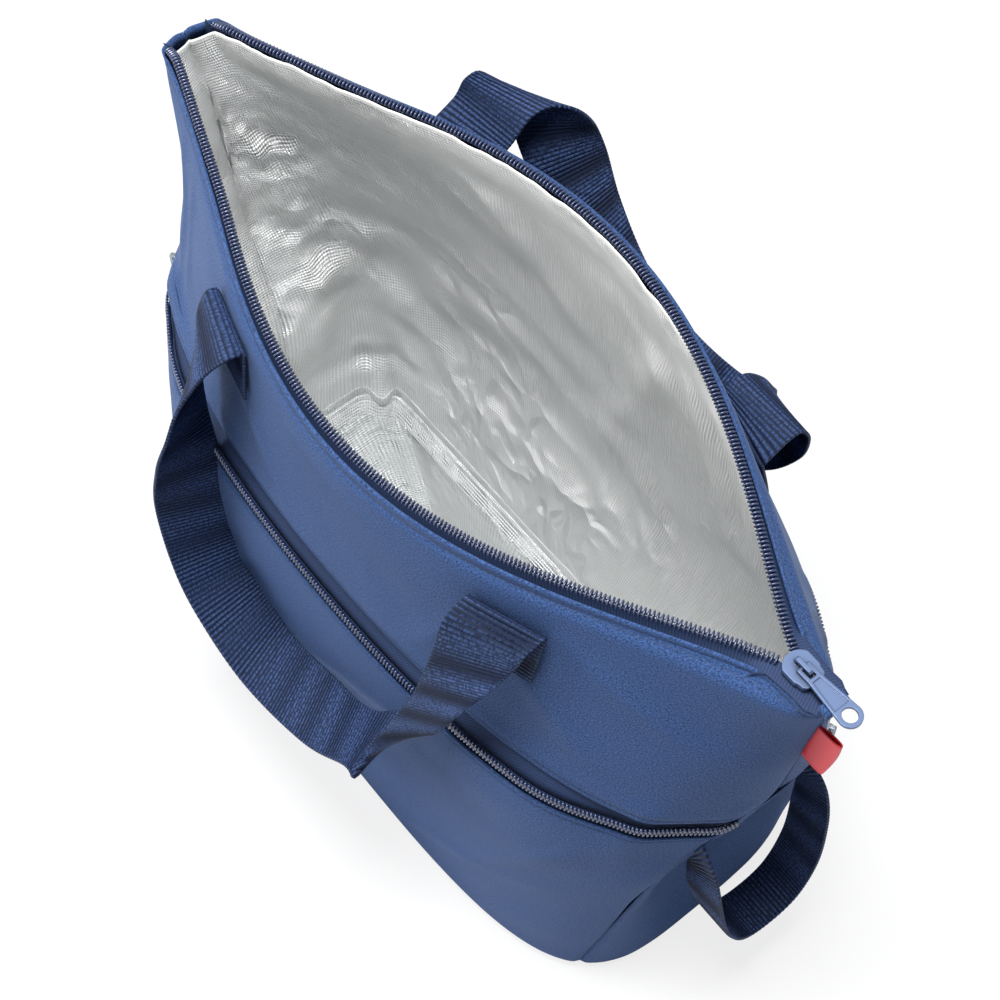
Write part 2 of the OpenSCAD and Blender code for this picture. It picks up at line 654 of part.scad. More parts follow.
base_panel();
upper_panel(FRONT);  // front_upper_panel
upper_panel(BACK);  // back_upper_panel
pocket_panel(FRONT);  // front_pocket_panel
pocket_panel(BACK);  // back_pocket_panel
gusset(-1);  // left_gusset
gusset(1);  // right_gusset
pocket_lining(FRONT);  // front_pocket_lining
pocket_lining(BACK);  // back_pocket_lining
foam_base();
foam_wall(FRONT);  // foam_front
foam_wall(BACK);  // foam_back
foam_side(-1);  // foam_left
foam_side(1);  // foam_right
liner_base();
liner_wall(FRONT);  // liner_front
liner_wall(BACK);  // liner_back
liner_side(-1);  // liner_left
liner_side(1);  // liner_right
top_tape(FRONT);  // top_zip_front_tape
top_tape(BACK);  // top_zip_back_tape
top_coil(FRONT);  // top_zip_front_coil
top_coil(BACK);  // top_zip_back_coil
top_zip_end_tab();
top_zip_slider();
top_zip_pull();
pocket_upper_tape(FRONT);  // front_pocket_zip_upper_tape
pocket_lower_tape(FRONT);  // front_pocket_zip_lower_tape
pocket_coil(FRONT);  // front_pocket_zip_coil
pocket_slider(FRONT);  // front_pocket_zip_slider
pocket_pull(FRONT);  // front_pocket_zip_pull
pocket_upper_tape(BACK);  // back_pocket_zip_upper_tape
pocket_lower_tape(BACK);  // back_pocket_zip_lower_tape
pocket_coil(BACK);  // back_pocket_zip_coil
pocket_slider(BACK);  // back_pocket_zip_slider
pocket_pull(BACK);  // back_pocket_zip_pull
handle_end(FRONT, -1);  // front_left_handle_end
handle_end(FRONT, 1);  // front_right_handle_end
handle(FRONT);  // front_handle
handle_end(BACK, -1);  // back_left_handle_end
handle_end(BACK, 1);  // back_right_handle_end
handle(BACK);  // back_handle
side_loop(-1);  // left_side_loop
side_loop(1);  // right_side_loop
side_tab();
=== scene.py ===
import bmesh
import bpy
import math
from mathutils import Matrix, Vector, noise


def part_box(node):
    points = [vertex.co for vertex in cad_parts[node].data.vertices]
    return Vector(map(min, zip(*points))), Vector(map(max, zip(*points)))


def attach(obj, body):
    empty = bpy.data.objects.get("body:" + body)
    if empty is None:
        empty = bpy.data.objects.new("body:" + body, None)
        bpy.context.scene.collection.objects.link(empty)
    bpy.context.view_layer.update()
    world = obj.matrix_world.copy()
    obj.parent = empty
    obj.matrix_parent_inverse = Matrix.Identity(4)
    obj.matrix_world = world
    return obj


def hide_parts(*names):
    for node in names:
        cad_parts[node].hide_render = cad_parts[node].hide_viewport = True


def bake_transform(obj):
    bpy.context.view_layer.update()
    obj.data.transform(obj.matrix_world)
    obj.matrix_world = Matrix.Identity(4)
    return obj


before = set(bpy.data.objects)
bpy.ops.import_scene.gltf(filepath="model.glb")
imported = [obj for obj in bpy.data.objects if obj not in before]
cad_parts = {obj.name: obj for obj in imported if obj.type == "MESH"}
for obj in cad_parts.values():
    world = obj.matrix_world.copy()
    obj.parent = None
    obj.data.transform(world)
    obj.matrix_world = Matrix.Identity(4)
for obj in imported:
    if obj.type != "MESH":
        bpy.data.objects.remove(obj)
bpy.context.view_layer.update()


# Studio: a plain white floor, a big soft light from the left, one overhead and a weak one low in front.
# The camera stands high above the front right corner, where the picture was taken from.
def srgb(code):
    parts = [int(code[i:i + 2], 16) / 255 for i in (1, 3, 5)]
    return [c / 12.92 if c <= 0.04045 else ((c + 0.055) / 1.055) ** 2.4 for c in parts] + [1.0]


def add(tree, kind, sockets=None, **settings):
    """Adds one shader node; sockets gives its inputs by name or number, as values or other nodes' outputs."""
    made = tree.nodes.new("ShaderNode" + kind)
    for key, value in settings.items():
        setattr(made, key, value)
    for key, value in (sockets or {}).items():
        if isinstance(value, bpy.types.NodeSocket):
            tree.links.new(value, made.inputs[key])
        else:
            made.inputs[key].default_value = value
    return made


def new_tree(holder):
    holder.use_nodes = True
    holder.node_tree.nodes.clear()
    return holder.node_tree


def linked(name, data):
    obj = bpy.data.objects.new(name, data)
    bpy.context.scene.collection.objects.link(obj)
    return obj


def soft_light(name, place, aim, size, watts, tint):
    lamp = bpy.data.lights.new(name, "AREA")
    lamp.shape = "SQUARE"
    lamp.size = size
    lamp.energy = watts
    lamp.color = srgb(tint)[:3]
    obj = linked(name, lamp)
    obj.location = place
    obj.rotation_euler = (Vector(aim) - Vector(place)).to_track_quat("-Z", "Y").to_euler()


# white lacquered floor: even white to the eye, with a faint mirror of the bag close to it
floor_paint = bpy.data.materials.new("white_lacquer")
tree = new_tree(floor_paint)
lacquer = add(tree, "BsdfPrincipled", {
    "Base Color": srgb("#f2f3f5"), "Roughness": 0.22, "Specular IOR Level": 0.35})
white = add(tree, "Emission", {"Color": srgb("#ffffff"), "Strength": 1.0})
path = add(tree, "LightPath")
share = add(tree, "Math", {0: path.outputs["Is Camera Ray"], 1: 0.8}, operation="MULTIPLY")
both = add(tree, "MixShader", {0: share.outputs[0], 1: lacquer.outputs[0], 2: white.outputs[0]})
add(tree, "OutputMaterial", {"Surface": both.outputs[0]})
bm = bmesh.new()
bmesh.ops.create_grid(bm, x_segments=1, y_segments=1, size=6)
floor_mesh = bpy.data.meshes.new("floor")
bm.to_mesh(floor_mesh)
bm.free()
floor_mesh.materials.append(floor_paint)
linked("floor", floor_mesh)

soft_light("window", (-1.35, -1.3, 0.95), (0, 0, 0.2), 0.9, 25, "#fffdf8")
soft_light("overhead", (0.0, -0.1, 1.8), (0, 0, 0.1), 0.6, 42, "#ffffff")
soft_light("fill", (0.55, -1.4, 0.3), (0.1, 0, 0.08), 0.8, 1.0, "#f4f7ff")

sky = bpy.data.worlds.new("studio_air")
bpy.context.scene.world = sky
tree = new_tree(sky)
dim = add(tree, "Background", {"Color": srgb("#eef2f8"), "Strength": 0.16})
bright = add(tree, "Background", {"Color": srgb("#ffffff"), "Strength": 1.0})
path = add(tree, "LightPath")
seen = add(tree, "Math", {0: path.outputs["Is Camera Ray"], 1: path.outputs["Is Glossy Ray"]},
           operation="MAXIMUM")
both = add(tree, "MixShader", {0: seen.outputs[0], 1: dim.outputs[0], 2: bright.outputs[0]})
add(tree, "OutputWorld", {"Surface": both.outputs[0]})

turn, tilt = 0.8955161, 1.0573072
away = Vector((math.sin(turn) * math.cos(tilt), -math.cos(turn) * math.cos(tilt), math.sin(tilt)))
right = Vector((math.cos(turn), math.sin(turn), 0))
up = away.cross(right)
lens = bpy.data.cameras.new("camera")
lens.sensor_width = 36
lens.lens = 2.12 * 36
camera = linked("camera", lens)
camera.matrix_world = Matrix.Translation(
    Vector((0, 0, 0.2)) + away * 1.061739 + right * 0.0153511 - up * 0.0074039
) @ Matrix((right, up, away)).transposed().to_4x4()
bpy.context.scene.camera = camera
bpy.context.scene.view_settings.view_transform = "Standard"


# Base panel: the flat bottom of the bag, one layer of coated navy polyester under a foam board.
# Its edge is sewn to the walls and rolls under them; the foam board is shut in above it.
def mix(a, b, t):
    return a + (b - a) * t


def smooth(t):
    t = min(1.0, max(0.0, t))
    return t * t * (3 - 2 * t)


def steps(a, b, n):
    return [a + (b - a) * i / n for i in range(n + 1)]


def sind(a):
    return math.sin(math.radians(a))


# height at the side seams; the mouth's front sags and its back stands up in the middle; all in mm
bag_h = 336
front_sag = 14
back_rise = 5
# widths at the base and at the rim, half depths there, four times the belly's bulge, and the lean to the back
base_w = 392
rim_w = 468
base_half_d = 97
rim_half_d = 85
belly = 20
lean_back = 9
# depth of the fold in the gussets and the share of the height where it ends
gusset_fold = 20
fold_end = 0.62


def rim_z(side, xi):
    """Height of the mouth in mm on the front (side -1) or the back (side 1); xi runs -1 to 1 across it."""
    return bag_h + (-front_sag if side < 0 else back_rise) * (1 - xi * xi) ** 2


def half_w(w):
    return mix(base_w, rim_w, w) / 2


def half_d(w):
    return mix(base_half_d, rim_half_d, w) + belly * w * (1 - w)


def lean(w):
    return lean_back * sind(145 * w)


def plan(side, s, w):
    """Outline of the bag in mm at share w of its height; s runs -1 to 1 along the front or the back."""
    if abs(s) > 1:
        return plan(-side, math.copysign(2, s) - s, w)
    xi = sind(90 * s)
    m = abs(xi)
    bow = half_d(w) * max(0, 1 - m ** (2 + 2 * max(0, 1 - w) ** 1.9)) ** (0.25 + 1.25 * w ** 4)
    end = mix(22, 16, (xi + 1) / 2) * w * w * m ** 4 * math.sqrt(max(0, 1 - m ** 24))
    fold = 0
    if w <= fold_end:
        fold = gusset_fold * sind(180 * w / fold_end) ** 2 * math.exp(-((1 - abs(s)) / 0.13) ** 2)
    return Vector((half_w(w) * xi - math.copysign(fold, xi), side * (bow + end) + lean(w)))


def outset(side, s, w, out):
    along = (plan(side, s + 0.02, w) - plan(side, s - 0.02, w)).normalized()
    return plan(side, s, w) + Vector((along.y, -along.x)) * (out if side < 0 else -out)


# near the pocket zips the wall is flat between these two values of s, for the sliders to run on
flat_from = 0.70
flat_to = 0.87


def wall(side, s, z, out=0.0):
    """Point of the outer wall in metres; z and out, the distance outward, are in mm."""
    if abs(s) > 1:
        return wall(-side, math.copysign(2, s) - s, z, out)
    w = z / rim_z(side, sind(90 * s))
    p = outset(side, s, w, out)
    flat = math.exp(-((abs(s) - 0.775) / 0.115) ** 4 - ((z - 189) / 33) ** 4)
    if flat > 0.01:
        a = outset(side, math.copysign(flat_from, s), w, out)
        b = outset(side, math.copysign(flat_to, s), w, out)
        p = p.lerp(a.lerp(b, (abs(s) - flat_from) / (flat_to - flat_from)), flat)
    return Vector((p.x, p.y, z)) * 0.001


def wave(x, z, wide, high, seed):
    """Smooth random height from -1 to 1 with bumps about wide by high mm."""
    return noise.noise(Vector((x / wide, z / high, seed)))


def cloth(name, us, vs, place, thick, paint, closed=False):
    """Sheet of cloth: a grid with a corner per us and vs, put where place(u, v) says, then thickened."""
    nx, ny = len(us) - 1, len(vs) - 1
    bm = bmesh.new()
    bmesh.ops.create_grid(bm, x_segments=nx, y_segments=ny, size=1)
    cell = {v: (round((v.co.x + 1) / 2 * nx), round((v.co.y + 1) / 2 * ny)) for v in bm.verts}
    spot = {c: place(us[c[0]], vs[c[1]]) for c in cell.values()}
    across, along = [0.0], [0.0]
    for i in range(nx):
        across.append(across[-1] + (spot[i + 1, ny // 2] - spot[i, ny // 2]).length)
    for j in range(ny):
        along.append(along[-1] + (spot[nx // 2, j + 1] - spot[nx // 2, j]).length)
    layer = bm.loops.layers.uv.new("cloth")
    for face in bm.faces:
        for loop in face.loops:
            i, j = cell[loop.vert]
            loop[layer].uv = (across[i], along[j])
    for v, c in cell.items():
        v.co = spot[c]
    if closed:
        bmesh.ops.remove_doubles(bm, verts=bm.verts[:], dist=1e-7)
    bm.normal_update()
    behind = bmesh.ops.extrude_face_region(bm, geom=bm.faces[:], use_keep_orig=True)
    for v in behind["geom"]:
        if isinstance(v, bmesh.types.BMVert):
            v.co -= v.normal * thick
    bmesh.ops.recalc_face_normals(bm, faces=bm.faces[:])
    for face in bm.faces:
        face.smooth = True
    mesh = bpy.data.meshes.new(name)
    bm.to_mesh(mesh)
    bm.free()
    mesh.materials.append(paint)
    return linked(name, mesh)


# coated polyester: a close plain weave, matt with a soft sheen, its yarns a little uneven in tone
navy = bpy.data.materials.new("coated_polyester")
tree = new_tree(navy)
uv = add(tree, "UVMap", uv_map="cloth")
# the real yarns are 0.4 mm apart; they are drawn about 0.7 mm apart so that they can be seen
warp = add(tree, "TexNoise", {
    "Vector": add(tree, "Mapping", {"Vector": uv.outputs[0], "Scale": (2300, 900, 1)}).outputs[0],
    "Scale": 1.0, "Detail": 2.0, "Roughness": 0.6}, noise_dimensions="2D")
weft = add(tree, "TexNoise", {
    "Vector": add(tree, "Mapping", {"Vector": uv.outputs[0], "Scale": (900, 2300, 1)}).outputs[0],
    "Scale": 1.0, "Detail": 2.0, "Roughness": 0.6}, noise_dimensions="2D")
yarn = add(tree, "Math", {0: warp.outputs[0], 1: weft.outputs[0]}, operation="ADD")
tone = add(tree, "MapRange", {0: yarn.outputs[0], 1: 0.78, 2: 1.22, 3: 0.0, 4: 1.0})
shade = add(tree, "Mix", {0: tone.outputs[0], 6: srgb("#1e2f50"), 7: srgb("#415e92")}, data_type="RGBA")
relief = add(tree, "Bump", {"Strength": 0.35, "Distance": 0.0005, "Height": yarn.outputs[0]})
skin = add(tree, "BsdfPrincipled", {
    "Base Color": shade.outputs[2], "Roughness": 0.72, "Specular IOR Level": 0.12,
    "Normal": relief.outputs[0], "Sheen Weight": 0.15, "Sheen Roughness": 0.45,
    "Sheen Tint": srgb("#a9b8d6")})
add(tree, "OutputMaterial", {"Surface": skin.outputs[0]})


def base_spot(s, share):
    p = wall(-1, s, 1.5, -5)
    return Vector((p.x * share, p.y * share, 0.0003))


base = cloth("base_fabric", steps(-1, 3, 128), [0, 0.3, 0.6, 0.8, 0.9, 0.97, 1], base_spot, 0.0012, navy,
             closed=True)
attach(base, "bag")
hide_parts("base_panel", "foam_base")


# Foil liner: a loose inner bag of woven film with an aluminium face, hung from the zip tapes.
# Its floor is welded in along the bottom, with a raised welt and a pressed band on each side of it.
# a wave texture of scale 1 repeats after a tenth of pi
wave_unit = 0.314159
film_weave = 0.0017


# aluminium film: silvery grey and softly shiny, with the fine square grid of the weave under it
def foil(name, tint, rough, press):
    paint = bpy.data.materials.new(name)
    tree = new_tree(paint)
    uv = add(tree, "UVMap", uv_map="cloth")
    # the weave under the film is 1.7 mm apart
    ends = add(tree, "TexWave", {
        "Vector": uv.outputs[0], "Scale": wave_unit / film_weave, "Distortion": 0.5}, bands_direction="X")
    picks = add(tree, "TexWave", {
        "Vector": uv.outputs[0], "Scale": wave_unit / film_weave, "Distortion": 0.5}, bands_direction="Y")
    grid = add(tree, "Math", {0: ends.outputs["Fac"], 1: picks.outputs["Fac"]}, operation="ADD")
    # crushed film: facets about 25 mm across with sharp ridges, in patches
    bend = add(tree, "TexNoise", {"Vector": uv.outputs[0], "Scale": 22.0, "Detail": 3.0},
               noise_dimensions="2D")
    shift = add(tree, "VectorMath", {0: bend.outputs["Color"], 1: (0.03, 0.03, 0)}, operation="MULTIPLY")
    place = add(tree, "VectorMath", {0: uv.outputs[0], 1: shift.outputs[0]}, operation="ADD")
    facets = add(tree, "TexVoronoi", {
        "Vector": place.outputs[0], "Scale": 38.0, "Detail": 1.0, "Roughness": 0.5},
        voronoi_dimensions="2D", feature="F1")
    patch = add(tree, "TexNoise", {"Vector": uv.outputs[0], "Scale": 9.0, "Detail": 1.0},
                noise_dimensions="2D")
    much = add(tree, "MapRange", {0: patch.outputs[0], 1: 0.4, 2: 0.66, 3: 0.15, 4: 1.0})
    weave = add(tree, "Bump", {"Strength": press, "Distance": 0.0005, "Height": grid.outputs[0]})
    crushed = add(tree, "Bump", {"Strength": much.outputs[0], "Distance": 0.006,
                                 "Height": facets.outputs["Distance"], "Normal": weave.outputs[0]})
    tone = add(tree, "MapRange", {0: grid.outputs[0], 1: 0.1, 2: 1.1, 3: 0.0, 4: 1.0})
    dull = [c * 0.74 for c in srgb(tint)[:3]] + [1.0]
    shade = add(tree, "Mix", {0: tone.outputs[0], 6: dull, 7: srgb(tint)}, data_type="RGBA")
    film = add(tree, "BsdfPrincipled", {
        "Base Color": shade.outputs[2], "Metallic": 0.3, "Roughness": rough, "Normal": crushed.outputs[0]})
    add(tree, "OutputMaterial", {"Surface": film.outputs[0]})
    return paint


liner_foil = foil("aluminium_film", "#fcfdfd", 0.3, 0.9)
seam_foil = foil("pressed_aluminium_film", "#e9ebec", 0.32, 1.0)
# the liner's floor: the same film with a darker tint, painted shade for the lesser light that falls on the
# floor inside the bag
shaded_floor_foil = foil("shaded_aluminium_film", "#c9cccd", 0.34, 0.9)
# raw edge of the film: its white woven back shows as a thin ragged line
white_back = bpy.data.materials.new("white_film_edge")
tree = new_tree(white_back)
# frayed tapes of the woven back, 1.7 mm wide
fray = add(tree, "TexNoise", {
    "Vector": add(tree, "TexCoord").outputs["Object"], "Scale": 600.0, "Detail": 2.0})
relief = add(tree, "Bump", {"Strength": 0.5, "Distance": 0.0004, "Height": fray.outputs[0]})
film = add(tree, "BsdfPrincipled", {
    "Base Color": srgb("#f4f4f2"), "Roughness": 0.5, "Normal": relief.outputs[0]})
add(tree, "OutputMaterial", {"Surface": film.outputs[0]})


# middle line of the top zip, and where its coils' curve ends left and right of the bag's middle, in mm
zip_mid_y = 5.162
coil_left = 225
coil_right = 210


def coil_at(side, x):
    """Middle of the top zip's coil in mm, where the mouth stands open."""
    xi = min(1, abs(x) / (coil_right if x > 0 else coil_left))
    gap = 3.4 + (2.2 if x > 0 else mix(2.2, 11.6, xi ** 6))
    y = 75 * (1 - xi * xi) ** (1.25 if x > 0 else 1.4) + gap / 2 + 6 * smooth((-x - 120) / 80)
    return Vector((x, side * y + zip_mid_y, rim_z(side, xi) - 1.2 - 3.5 * smooth((-x - 212) / 12)))


def inside(side, s, z, d):
    """Point of the inner bag in mm, d mm in from the outer wall."""
    w = z / rim_z(side, sind(90 * s))
    p = plan(side, s, w)
    y = lean(w)
    return Vector((p.x * (1 - d / half_w(w)), y + (p.y - y) * (1 - d / half_d(w)), z))


# half width of the liner's floor in mm and where its corners are, as s
floor_half_w = 181
floor_corner = 0.74


def floor_edge(side, s, z):
    """Edge of the liner's floor in mm: a rectangle with pinched corners, in from the base's own edge."""
    m = abs(s)
    pinch = math.exp(-((m - floor_corner) / 0.04) ** 2)
    wide = floor_half_w - 11 * pinch
    deep = mix(76, 72, (side + 1) / 2) - 8 * pinch
    if m < floor_corner:
        return Vector((math.copysign(wide * m / floor_corner, s), side * deep, z))
    return Vector((math.copysign(wide, s), side * deep * (1 - (m - floor_corner) / (1 - floor_corner)), z))


# fold lines of the slack film: both ends in mm, height of the ridge (below 0 a valley) and half its width
folds = [
    ((-215, 10, 262), (-206, 20, 244), 4, 10), ((-206, 20, 244), (-202, 38, 245), 4, 9),
    ((-206, 20, 244), (-197, 39, 179), 8, 16), ((-195, 38, 173), (-178, 65, 170), 8, 12),
    ((-189, 52, 140), (-147, 77, 103), 7, 16), ((-189, 52, 140), (-186, 3, 136), 8, 18),
    ((-195, 43, 212), (-202, 38, 245), 5, 11), ((-197, 39, 179), (-189, 52, 140), -5, 12),
    ((-207, 6, 196), (-195, 38, 173), -6, 12), ((-200, 28, 295), (-220, 14, 313), 4, 9),
    ((-211, 7, 227), (-207, 6, 196), 4, 10), ((-110, 60, 313), (-77, 75, 292), 3, 14),
    ((-77, 75, 292), (-30, 88, 230), 3, 18), ((-147, 77, 103), (-60, 84, 150), -4, 20),
    ((-181, 62, 50), (-182, 30, 54), -6, 14), ((-181, 62, 50), (-150, 76, 50), -6, 14),
    ((20, 92, 160), (60, 88, 80), 3, 20), ((40, 86, 270), (0, 94, 160), 4, 18),
    ((150, 50, 300), (185, 56, 200), -6, 16), ((172, 40, 305), (196, 45, 205), 5, 13),
    ((70, 77, 300), (105, 87, 190), 4, 16), ((125, 60, 300), (120, 83, 200), 4, 14)]


def liner_at(a, z):
    """Point of the liner's wall in mm at height z; a runs -1 to 1 along the front, on to 3 along the back."""
    side, s = (-1, a) if a <= 1 else (1, 2 - a)
    xi = sind(90 * s)
    top = liner_top(a)
    hang = smooth((z - top.z + 34) / 34)
    p = inside(side, s, min(z, rim_z(side, xi) - 4), 10.6)
    p = floor_edge(side, s, z).lerp(p, smooth((z - 14) / 110))
    loose = 1 - smooth((z - top.z + 60) / 56)
    low = smooth((z - 9) / 30) * smooth((1 - abs(s)) / 0.1)
    left = smooth((-xi + 0.15) / 0.7)
    # long slanting waves of the slack film, stronger at the narrow left end, then its sharp folds
    slack = 3.2 * wave(p.x + 0.5 * z, z - 0.6 * p.x, 70, 34, 1.3 + side) * mix(0.5, 1.0, left)
    slack += 7.0 * (0.2 - abs(wave(p.x - 0.4 * z, z + 0.7 * p.x, 90, 42, 5.1 + side))) * mix(0.35, 1.0, left)
    slack += 4 * left * sind(180 * z / bag_h) ** 2
    if p.y > 0:
        for start, end, high, wide in folds:
            start, end = Vector(start), Vector(end)
            t = min(1, max(0, (p - start).dot(end - start) / (end - start).length_squared))
            slack += high * max(0, 1 - (p - start.lerp(end, t)).length / wide)
    inward = Vector((-p.x / 230, -(p.y - lean(z / bag_h)) / 90, 0)).normalized()
    p += inward * slack * loose * low
    # the corner of the floor is pinched up where its two seams meet
    p += inward * 7 * math.exp(-((abs(s) - floor_corner) / 0.035) ** 2 - ((z - 15) / 12) ** 2)
    return p.lerp(Vector((top.x, top.y, z)), hang)


def liner_top(a):
    """Cut top edge of the liner in mm, held under the zip's coil; at the back it shows below the coil."""
    side, s = (-1, a) if a <= 1 else (1, 2 - a)
    xi = sind(90 * s)
    x = mix(-226, 209, (xi + 1) / 2)
    top = coil_at(side, x)
    drop = 0.6 if side < 0 else mix(2.6 + 0.9 * wave(x, 7, 13, 9, 6), 0.8, smooth((x - 30) / 50))
    top.y = zip_mid_y + (top.y - zip_mid_y - side * drop) * (1 - smooth((abs(xi) - 0.97) / 0.03))
    top.z -= 2.3 + 1.0 * wave(x, side * 40, 8, 9, 3) + 3 * smooth((abs(xi) - 0.96) / 0.04)
    return top


def liner_spot(a, t):
    return liner_at(a, mix(6.5, liner_top(a).z, t)) * 0.001


liner_rows = steps(0, 0.95, 104) + [0.965, 0.978, 0.986, 0.991, 0.9955, 1.0]
liner = cloth("liner_walls", steps(-1, 3, 360), liner_rows, liner_spot, -0.0005, liner_foil, closed=True)
liner.data.materials.append(white_back)
lay = liner.data.uv_layers["cloth"].data
height = max(corner.uv.y for corner in lay)
# the white back shows along the top 3 mm, except at the right end
for face in liner.data.polygons:
    if min(lay[i].uv.y for i in face.loop_indices) > height - 0.0032 and face.center.x < 0.07:
        face.material_index = 1
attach(liner, "bag")
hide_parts("liner_front", "liner_back", "liner_left", "liner_right",
            "foam_front", "foam_back", "foam_left", "foam_right")


def liner_floor_spot(s, share):
    side, s = (-1, s) if s <= 1 else (1, 2 - s)
    p = floor_edge(side, s, 6.9)
    p = Vector((p.x * share, p.y * share, 6.9))
    rise = 1.6 * wave(p.x, p.y, 60, 42, 2.2) + 0.6 * wave(p.x + p.y, p.y - p.x, 24, 15, 4.4)
    p.z += (1.0 + rise) * smooth((1 - share) / 0.2)
    return p * 0.001


liner_floor = cloth("liner_floor", steps(-1, 3, 160), [0] + steps(0.05, 1, 40), liner_floor_spot, 0.0005,
                    shaded_floor_foil, closed=True)
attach(liner_floor, "bag")
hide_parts("liner_base")


# section of the weld round the floor, as height and distance inward in mm:
# pressed band up the wall, thin raised welt, pressed band over the floor
weld_section = [
    (19.0, -0.3), (18.6, 0.3), (12.5, 0.5), (10.4, 0.6), (10.2, 1.2), (11.6, 1.7), (12.0, 2.2), (11.6, 2.7),
    (9.6, 3.1), (9.2, 3.6), (8.6, 11.0), (6.6, 11.6)]


def welt_spot(a, row):
    side, s = (-1, a) if a <= 1 else (1, 2 - a)
    up, inward = weld_section[row]
    p = liner_at(a, up) if row < 4 else floor_edge(side, s, up)
    p = Vector((p.x * (1 - inward / floor_half_w), p.y * (1 - inward / 74), up))
    p.z += (0.5 if row > 4 else 0) * wave(p.x, p.y, 9, 9, row)
    return p * 0.001


welt = cloth("liner_weld", steps(-1, 3, 360), list(range(len(weld_section))), welt_spot, -0.0003, seam_foil,
             closed=True)
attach(welt, "bag")


# Gussets: the folded sides under the pocket zips' level, one layer of polyester each.
# They are sewn to the pocket panels at the corners and crease inward down the middle.
# height in mm of the upper panels' lower edge, where the gussets end
flap_z = 205


def corner_line(z):
    """Where the gusset's seam runs, as s."""
    return mix(0.74, 0.93, (z / flap_z) ** 1.5)


def tuck(z):
    """How far the wall rolls in at its bottom edge, in mm."""
    return 5.5 * max(0, 1 - z / 9) ** 2


def gusset_spot(turn):
    def spot(u, z):
        c = corner_line(z)
        s = mix(c, 2 - c, (u + 1) / 2) if turn > 0 else mix(c - 2, -c, (u + 1) / 2)
        arc = u * 70
        out = 3.0 * wave(arc + 0.35 * z, z, 42, 60, 11 + turn)
        out += 1.3 * wave(arc, z + 0.4 * arc, 18, 34, 15 + turn)
        out *= smooth((1 - abs(u)) / 0.25) * smooth((flap_z - z) / 25) * smooth(z / 20)
        out -= 1.3 * math.exp(-((1 - abs(u)) * 70 / 3.5) ** 2)
        return wall(-1, s, z, out - tuck(z))
    return spot


# rows of the cloth, close together where it rolls in under the base
hem_rows = [1.2, 2, 3.2, 5, 7, 9]
gusset_rows = hem_rows + steps(12, 200, 56) + [202, 204.5]
for turn, name in ((-1, "left"), (1, "right")):
    gusset = cloth(name + "_gusset_fabric", steps(-1, 1, 56), gusset_rows, gusset_spot(turn), 0.0009, navy)
    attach(gusset, "bag")
    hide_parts(name + "_gusset")


# Pocket panels: the outer wall of the zipped pocket on the front and on the back, with its lining behind.
# One layer of polyester each, folded over at the top along the zip and topstitched there.
def crease(x, z, ends, high, wide):
    """Height of one soft ridge between two points of a panel, all in mm."""
    a, b, p = Vector(ends[:2]), Vector(ends[2:]), Vector((x, z))
    t = min(1, max(0, (p - a).dot(b - a) / (b - a).length_squared))
    return high * math.exp(-((p - a.lerp(b, t)).length / wide) ** 2) * math.sin(math.pi * (0.08 + 0.84 * t))


def ledge(s):
    """How far the filled pocket pushes its zip out from the wall, in mm."""
    return 7.0 * (1 - smooth((abs(s) - 0.42) / 0.26))


# soft ridges of the pocket's cloth: x and z of both ends in mm
pocket_creases = [
    (60, 20, 165, 95), (-150, 30, -60, 150), (-20, 12, 40, 120), (120, 60, 185, 170), (-185, 60, -120, 165)]


def pocket_spot(side):
    def spot(u, row):
        z, back = row
        s = u * corner_line(z)
        # about the distance from the bag's middle in mm
        x = 225 * sind(90 * s)
        body = smooth((186 - z) / 30) * smooth(z / 25)
        out = 3.0 * (1 - u ** 6) * sind(180 * min(1, z / 186)) ** 0.7
        out += body * 1.8 * wave(x + 0.5 * z, z, 95, 70, 21 + side)
        out += body * 0.8 * wave(x, z - 0.5 * x, 44, 30, 24 + side)
        out += body * sum(crease(-side * x, z, ends, 1.3, 6) for ends in pocket_creases)
        # the cloth lies flat under the slider's pull
        out *= 1 - math.exp(-((abs(s) - 0.76) / 0.13) ** 4 - ((z - 176) / 32) ** 4)
        out += ledge(s) * smooth((z - 60) / 130)
        out -= 1.3 * math.exp(-((1 - abs(u)) * 200 / 3.5) ** 2)
        out += 0.5 * math.exp(-((z - 188) / 2.5) ** 2) - 0.5 * math.exp(-((z - 185.6) / 0.9) ** 2)
        return wall(side, s, z, out - back - tuck(z))
    return spot


# rows as height and distance behind the face; the last ones go over the folded top edge
pocket_rows = [(z, 0) for z in hem_rows + steps(12, 180, 56)]
pocket_rows += [(z, 0) for z in (182, 183.5, 184.6, 185.2, 185.6, 186, 186.6, 187.4, 188)]
pocket_rows += [(188.5, 0.3), (188.8, 0.9), (188.5, 1.5), (187.5, 1.8), (184, 1.9)]
for side, name in ((-1, "front"), (1, "back")):
    pocket = cloth(name + "_pocket_fabric", steps(-1, 1, 150), pocket_rows, pocket_spot(side), 0.0008 * -side,
                   navy)
    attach(pocket, "bag")
    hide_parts(name + "_pocket_panel", name + "_pocket_lining")


# Pocket zips: closed coil zips, one on the front and one on the back, under the upper panel's edge.
# Woven tapes carry two rows of nylon teeth; the slider and its hanging pull are plain cast metal.
# zip tape: dense dark twill, matt
tape_weave = bpy.data.materials.new("polyester_zip_tape")
tree = new_tree(tape_weave)
uv = add(tree, "UVMap", uv_map="cloth")
